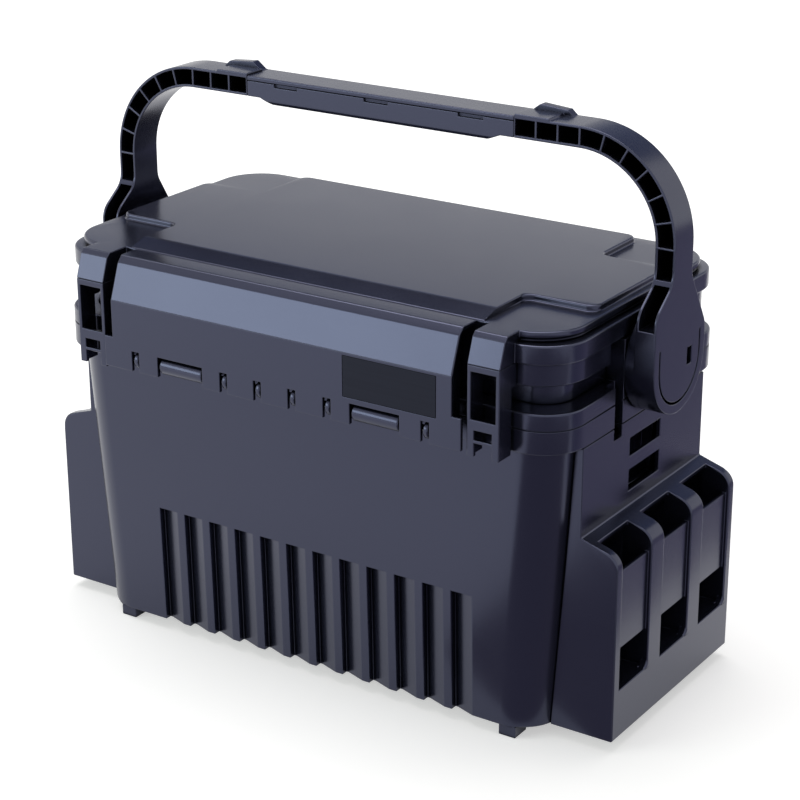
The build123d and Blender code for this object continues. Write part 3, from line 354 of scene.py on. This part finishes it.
def gloss_plate(name, colour):
    """Gloss plate with a faint rolled lay along its length."""
    material, place, shader = new_material(name)
    stretched = place.node("ShaderNodeMapping", Vector=place, Scale=PLATE_LAY)
    lay = place.node("ShaderNodeTexNoise", Vector=stretched, Scale=1.0, Detail=2.0)
    join(place.blend(lay, shade(colour, 1.0), shade(colour, PLATE_PALE)), shader, "Base Color")
    join(PLATE_ROUGH + PLATE_DULL * lay, shader, "Roughness")
    shader.inputs["Specular IOR Level"].default_value = PLATE_GLOSS
    shader.inputs["Specular Tint"].default_value = PLATE_TINT
    return material


def drawn_wire(name, colour):
    """Drawn steel wire, scratched along its length."""
    material, place, shader = new_material(name)
    stretched = place.node("ShaderNodeMapping", Vector=place, Scale=WIRE_LAY)
    scratch = place.node("ShaderNodeTexNoise", Vector=stretched, Scale=1.0, Detail=3.0)
    join(place.blend(scratch, shade(colour, WIRE_DARK), shade(colour, 1.0)), shader, "Base Color")
    join(WIRE_ROUGH + WIRE_DULL * scratch, shader, "Roughness")
    shader.inputs["Metallic"].default_value = 1.0
    return material


def make_finish(slot):
    """The finish for one of the record's material slots, made once."""
    name = "finish_" + slot
    if name in bpy.data.materials:
        return bpy.data.materials[name]
    finish = bpy.context.scene.tackle_finishes
    if slot == "plate_gloss":
        return gloss_plate(name, finish.plate)
    if slot == "pin_steel":
        return drawn_wire(name, finish.steel)
    colours = {"grip_plastic": finish.grip, "tray_plastic": finish.tray}
    return moulded(name, colours.get(slot, finish.black), finish)


def merged_shell(node):
    """A CAD node's mesh with its loose triangles joined, as a bmesh."""
    shell = bmesh.new()
    shell.from_mesh(frame["nodes"][node].data)
    bmesh.ops.remove_doubles(shell, verts=shell.verts, dist=JOIN_DISTANCE)
    bmesh.ops.dissolve_degenerate(shell, edges=shell.edges, dist=JOIN_DISTANCE)
    return shell


def edge_room(edges, radius):
    """For each edge, how much of the radius fits before it meets the next edge beside it."""
    samples = []
    for edge in edges:
        start, stop = (vertex.co for vertex in edge.verts)
        count = max(1, min(MOST_SAMPLES, round((stop - start).length / SAMPLE_STEP)))
        samples += [(start.lerp(stop, (number + 0.5) / count), edge) for number in range(count)]
    tree = kdtree.KDTree(len(samples))
    for number, (point, _) in enumerate(samples):
        tree.insert(point, number)
    tree.balance()
    room = {edge: 1.0 for edge in edges}
    reach = radius / EDGE_SHARE
    for point, edge in samples:
        along = (edge.verts[1].co - edge.verts[0].co).normalized()
        for other_point, number, gap in tree.find_range(point, reach):
            offset = other_point - point
            if samples[number][1] is edge or abs(offset.dot(along)) > BESIDE * gap:
                continue
            room[edge] = min(room[edge], gap / reach)
    return room


def flat_area(seed, taken):
    """The faces that join a face in its own plane."""
    plane = seed.normal.copy()
    height = plane.dot(seed.verts[0].co)
    area = [seed]
    taken.add(seed)
    for face in area:
        for other in (near for edge in face.edges for near in edge.link_faces):
            if other in taken or any(abs(plane.dot(spot.co) - height) > FLATNESS for spot in other.verts):
                continue
            taken.add(other)
            area.append(other)
    return area


def within(points, lines):
    """Which points lie inside the closed lines, by counting the lines to one side of each."""
    x, y = points[:, :1], points[:, 1:]
    x0, y0, x1, y1 = lines.T
    spans = (y0 > y) != (y1 > y)
    rise = np.where(y1 == y0, 1.0, y1 - y0)
    return np.sum(spans & (x0 + (y - y0) * (x1 - x0) / rise > x), axis=1) % 2 == 1


def refill(shell, area):
    """Fills a flat area again from its rim alone."""
    plane = area[0].normal.copy()
    height = plane.dot(area[0].verts[0].co)
    across = plane.orthogonal().normalized()
    upward = plane.cross(across)
    faces = set(area)
    rim = [
        edge for face in area for edge in face.edges
        if sum(near in faces for near in edge.link_faces) == 1
    ]
    corners = list({spot for edge in rim for spot in edge.verts})
    number = {spot: place for place, spot in enumerate(corners)}
    flat = [Vector((across.dot(spot.co), upward.dot(spot.co))) for spot in corners]
    lines = [tuple(number[spot] for spot in edge.verts) for edge in rim]
    points, _, triangles, sources, _, _ = delaunay_2d_cdt(flat, lines, [], 0, FILL_DISTANCE)
    ends = np.array([(*flat[start], *flat[stop]) for start, stop in lines])
    middles = np.array(
        [sum((points[place] for place in triangle), Vector((0, 0))) / len(triangle) for triangle in triangles]
    )
    bmesh.ops.delete(shell, geom=area, context="FACES_ONLY")
    spots = []
    for point, source in zip(points, sources):
        if source:
            spots.append(corners[source[0]])
        else:
            spots.append(shell.verts.new(across * point.x + upward * point.y + plane * height))
    for triangle, keep in zip(triangles, within(middles, ends)):
        ring = [spots[place] for place in triangle]
        if not keep or len(set(ring)) < 3 or shell.faces.get(ring):
            continue
        face = shell.faces.new(ring)
        face.smooth = True
        face.material_index = FLAT
        face.normal_update()
        if face.normal.dot(plane) < 0:
            face.normal_flip()


def mend_folds(shell):
    """Refills the flat areas in which the rounding has folded thin triangles over."""
    shell.normal_update()
    taken = set()
    areas = [
        flat_area(seed, taken)
        for seed in sorted(shell.faces, key=lambda face: -face.calc_area())
        if seed not in taken
    ]
    folded = []
    for area in areas:
        plane = area[0].normal
        sizes = [(face.calc_area(), face.normal.dot(plane)) for face in area]
        if sum(size for size, facing in sizes if facing < 0) > FOLD_AREA:
            folded.append(area)
    for area in folded:
        refill(shell, area)
    bmesh.ops.delete(shell, geom=[edge for edge in shell.edges if not edge.link_faces], context="EDGES")
    bmesh.ops.delete(shell, geom=[spot for spot in shell.verts if not spot.link_faces], context="VERTS")


def baked(piece):
    """Turns a piece's modifiers into plain mesh."""
    graph = bpy.context.evaluated_depsgraph_get()
    piece.data = bpy.data.meshes.new_from_object(piece.evaluated_get(graph))
    piece.modifiers.clear()


def rounded_copy(node, radius):
    """A copy of a CAD node with its edges rounded, less where two edges lie close together."""
    shell = merged_shell(node)
    weights = shell.edges.layers.float.new("bevel_weight_edge")
    crease = bpy.context.scene.tackle_edges.crease
    sharp = [edge for edge in shell.edges if len(edge.link_faces) == 2 and edge.calc_face_angle() > crease]
    for edge, share in edge_room(sharp, radius).items():
        edge[weights] = share
    mesh = bpy.data.meshes.new("dressed_" + node)
    shell.to_mesh(mesh)
    shell.free()
    mesh.shade_smooth()
    mesh.materials.clear()
    for _ in (FLAT, ROUNDED):
        mesh.materials.append(make_finish(SLOT_OF_NODE[node]))
    mesh.polygons.foreach_set("material_index", [FLAT] * len(mesh.polygons))
    piece = bpy.data.objects.new("dressed_" + node, mesh)
    bpy.context.scene.collection.objects.link(piece)
    bevel = piece.modifiers.new("rounding", "BEVEL")
    bevel.limit_method = "WEIGHT"
    bevel.width = radius
    bevel.segments = ROUNDING_STEPS
    bevel.loop_slide = False
    bevel.use_clamp_overlap = False
    bevel.material = ROUNDED
    baked(piece)

    shell = bmesh.new()
    shell.from_mesh(piece.data)
    mend_folds(shell)
    # marks the convex rounded edges that take the painted highlight
    painted_glint = shell.verts.layers.float.new(PAINTED_GLINT)
    for spot in shell.verts:
        turned = sum(edge.calc_face_angle_signed(0.0) for edge in spot.link_edges)
        spot[painted_glint] = float(turned > 0 and all(face.material_index == ROUNDED for face in spot.link_faces))
    for face in shell.faces:
        face.material_index = FLAT
    shell.to_mesh(piece.data)
    shell.free()
    piece.data.materials.pop(index=ROUNDED)
    flat = piece.modifiers.new("flat faces", "WEIGHTED_NORMAL")
    flat.weight = FLAT_WEIGHT
    flat.keep_sharp = True
    baked(piece)
    return piece


def dress(node, radius):
    """Stands a rounded copy with its finish in place of a CAD node."""
    piece = rounded_copy(node, radius)
    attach(piece, BODY_OF_NODE[node])
    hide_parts(node)


class TACKLE_OT_tub(bpy.types.Operator):
    """Dress the tub with its collar and its two racks"""

    bl_idname = "tackle.tub"
    bl_label = "Tub and racks"

    def execute(self, context):
        for node in ("tub", "collar", "rack_left", "rack_right"):
            dress(node, context.scene.tackle_edges.tub)
        return {"FINISHED"}


class TACKLE_OT_lid(bpy.types.Operator):
    """Dress the lid and its corner hangers"""

    bl_idname = "tackle.lid"
    bl_label = "Lid and hangers"

    def execute(self, context):
        for node in ("lid", "hanger_left", "hanger_right"):
            dress(node, context.scene.tackle_edges.lid)
        return {"FINISHED"}


class TACKLE_OT_latch(bpy.types.Operator):
    """Dress the front latch and its bare name plate"""

    bl_idname = "tackle.latch"
    bl_label = "Latch"

    def execute(self, context):
        dress("front_latch", context.scene.tackle_edges.latch)
        dress("name_plate", context.scene.tackle_edges.pin)
        return {"FINISHED"}


class TACKLE_OT_handle(bpy.types.Operator):
    """Dress the handle's arms, grip and cover"""

    bl_idname = "tackle.handle"
    bl_label = "Handle"

    def execute(self, context):
        for node in ("handle_arm_left", "handle_arm_right", "grip_body", "grip_cover"):
            dress(node, context.scene.tackle_edges.handle)
        return {"FINISHED"}


class TACKLE_OT_tray(bpy.types.Operator):
    """Dress the tray and its dividers"""

    bl_idname = "tackle.tray"
    bl_label = "Tray"

    def execute(self, context):
        for node in ("tray", "tray_divider_1", "tray_divider_2", "tray_divider_3"):
            dress(node, context.scene.tackle_edges.tray)
        return {"FINISHED"}


class TACKLE_OT_pins(bpy.types.Operator):
    """Dress the hinge wires and the handle's pivot pins"""

    bl_idname = "tackle.pins"
    bl_label = "Pins"

    def execute(self, context):
        for node in ("latch_pin", "hinge_pin_left", "hinge_pin_right", "pivot_pin_left", "pivot_pin_right"):
            dress(node, context.scene.tackle_edges.pin)
        return {"FINISHED"}


def softbox(name, power, place, size, colour):
    """A rectangular area lamp that faces the box."""
    lamp = bpy.data.lights.new(name, "AREA")
    lamp.shape = "RECTANGLE"
    lamp.size, lamp.size_y = size
    lamp.energy = power
    lamp.color = colour
    holder = bpy.data.objects.new(name, lamp)
    holder.location = place
    holder.rotation_euler = (Vector(LAMP_TARGET) - Vector(place)).to_track_quat("-Z", "Y").to_euler()
    bpy.context.scene.collection.objects.link(holder)


def seen_rays(tree):
    """One for a ray that comes from the camera or off a gloss or clear surface."""
    rays = tree.nodes.new("ShaderNodeLightPath")
    names = ("Is Camera Ray", "Is Glossy Ray", "Is Transmission Ray")
    camera, glossy, clear = (Wire(tree, rays.outputs[name]) for name in names)
    return camera + glossy + clear


def white_world(ambient):
    """Light from all round, seen as plain white by the camera and in reflections."""
    world = bpy.data.worlds.new("studio")
    world.use_nodes = True
    tree = world.node_tree
    strength = ambient + (1 - ambient) * seen_rays(tree)
    background = tree.nodes["Background"]
    background.inputs["Color"].default_value = (1, 1, 1, 1)
    tree.links.new(strength.socket, background.inputs["Strength"])
    bpy.context.scene.world = world


def flat_sheet(name, corners, material):
    """A flat sheet of the stage."""
    mesh = bpy.data.meshes.new(name)
    mesh.from_pydata(corners, [], [range(len(corners))])
    mesh.materials.append(material)
    sheet = bpy.data.objects.new(name, mesh)
    bpy.context.scene.collection.objects.link(sheet)
    return sheet


def pale_floor(colour, lift):
    """A plain floor under the feet, lifted to white where it is seen, with the box's soft shadow."""
    half = FLOOR_HALF
    material, place, shader = new_material("floor")
    shader.inputs["Base Color"].default_value = (*colour, 1)
    shader.inputs["Roughness"].default_value = FLOOR_ROUGH
    shader.inputs["Specular IOR Level"].default_value = 0.0
    reach = place.node("ShaderNodeVectorMath", {"operation": "LENGTH"}, "Value", _0=place)
    fade = {"From_Min": FLOOR_NEAR, "From_Max": FLOOR_FAR, "To_Min": lift, "To_Max": FLOOR_WHITE}
    white = place.node("ShaderNodeMapRange", Value=reach, **fade)
    join(place.blend(seen_rays(place.tree), (0, 0, 0, 1), white), shader, "Emission Color")
    shader.inputs["Emission Strength"].default_value = 1.0
    flat_sheet("floor", [(-half, -half, 0), (half, -half, 0), (half, half, 0), (-half, half, 0)], material)


def painted_reflection_card(name, colour, corners):
    """A glowing card beside the box that is seen in gloss alone: a painted reflection that shades what the
    plastic reflects.
    """
    material, _, shader = new_material(name)
    shader.inputs["Base Color"].default_value = (0, 0, 0, 1)
    shader.inputs["Roughness"].default_value = 1.0
    shader.inputs["Specular IOR Level"].default_value = 0.0
    shader.inputs["Emission Color"].default_value = (*colour, 1)
    shader.inputs["Emission Strength"].default_value = 1.0
    card = flat_sheet(name, corners, material)
    card.visible_camera = False
    card.visible_diffuse = False
    card.visible_shadow = False
    card.visible_transmission = False


class TACKLE_OT_stage(bpy.types.Operator):
    """Set the floor, the lights and the camera"""

    bl_idname = "tackle.stage"
    bl_label = "Studio"

    def execute(self, context):
        studio = context.scene.tackle_studio
        context.scene.view_settings.view_transform = "Standard"
        white_world(studio.ambient)
        pale_floor(studio.floor, studio.lift)
        for name, (colour, corners) in CARDS.items():
            painted_reflection_card(name, colour, corners)
        softbox("overhead", studio.key, **OVERHEAD)
        softbox("front", studio.front, **FRONT)

        camera = bpy.data.cameras.new("camera")
        camera.sensor_width = SENSOR_WIDTH
        camera.lens = studio.lens
        holder = bpy.data.objects.new("camera", camera)
        turn = Matrix.Rotation(studio.azimuth, 4, "Z")
        turn = turn @ Matrix.Rotation(math.pi / 2 - studio.elevation, 4, "X")
        turn = turn @ Matrix.Rotation(studio.roll, 4, "Z")
        holder.matrix_world = Matrix.Translation(studio.eye) @ turn
        context.scene.collection.objects.link(holder)
        context.scene.camera = holder
        return {"FINISHED"}


STEPS = (
    TACKLE_OT_tub,
    TACKLE_OT_lid,
    TACKLE_OT_latch,
    TACKLE_OT_handle,
    TACKLE_OT_tray,
    TACKLE_OT_pins,
    TACKLE_OT_stage,
)
SETTINGS = {"tackle_edges": EdgeSizes, "tackle_finishes": Finishes, "tackle_studio": Studio}


class TACKLE_PT_sidebar(bpy.types.Panel):
    """The steps that dress the box, with the sizes and colours that they use"""

    bl_idname = "TACKLE_PT_sidebar"
    bl_label = "Tackle box"
    bl_space_type = "VIEW_3D"
    bl_region_type = "UI"
    bl_category = "Tackle box"

    def draw(self, context):
        for step in STEPS:
            self.layout.operator(step.bl_idname)
        for group in SETTINGS:
            settings = getattr(context.scene, group)
            column = self.layout.column(align=True)
            for name in settings.__annotations__:
                column.prop(settings, name)


CLASSES = (*SETTINGS.values(), *STEPS, TACKLE_PT_sidebar)


def register():
    for entry in CLASSES:
        bpy.utils.register_class(entry)
    for name, group in SETTINGS.items():
        setattr(bpy.types.Scene, name, bpy.props.PointerProperty(type=group))


def unregister():
    for name in SETTINGS:
        delattr(bpy.types.Scene, name)
    for entry in reversed(CLASSES):
        bpy.utils.unregister_class(entry)


def main():
    register()
    for step in STEPS:
        group, name = step.bl_idname.split(".")
        getattr(getattr(bpy.ops, group), name)()


if __name__ == "__main__":
    main()
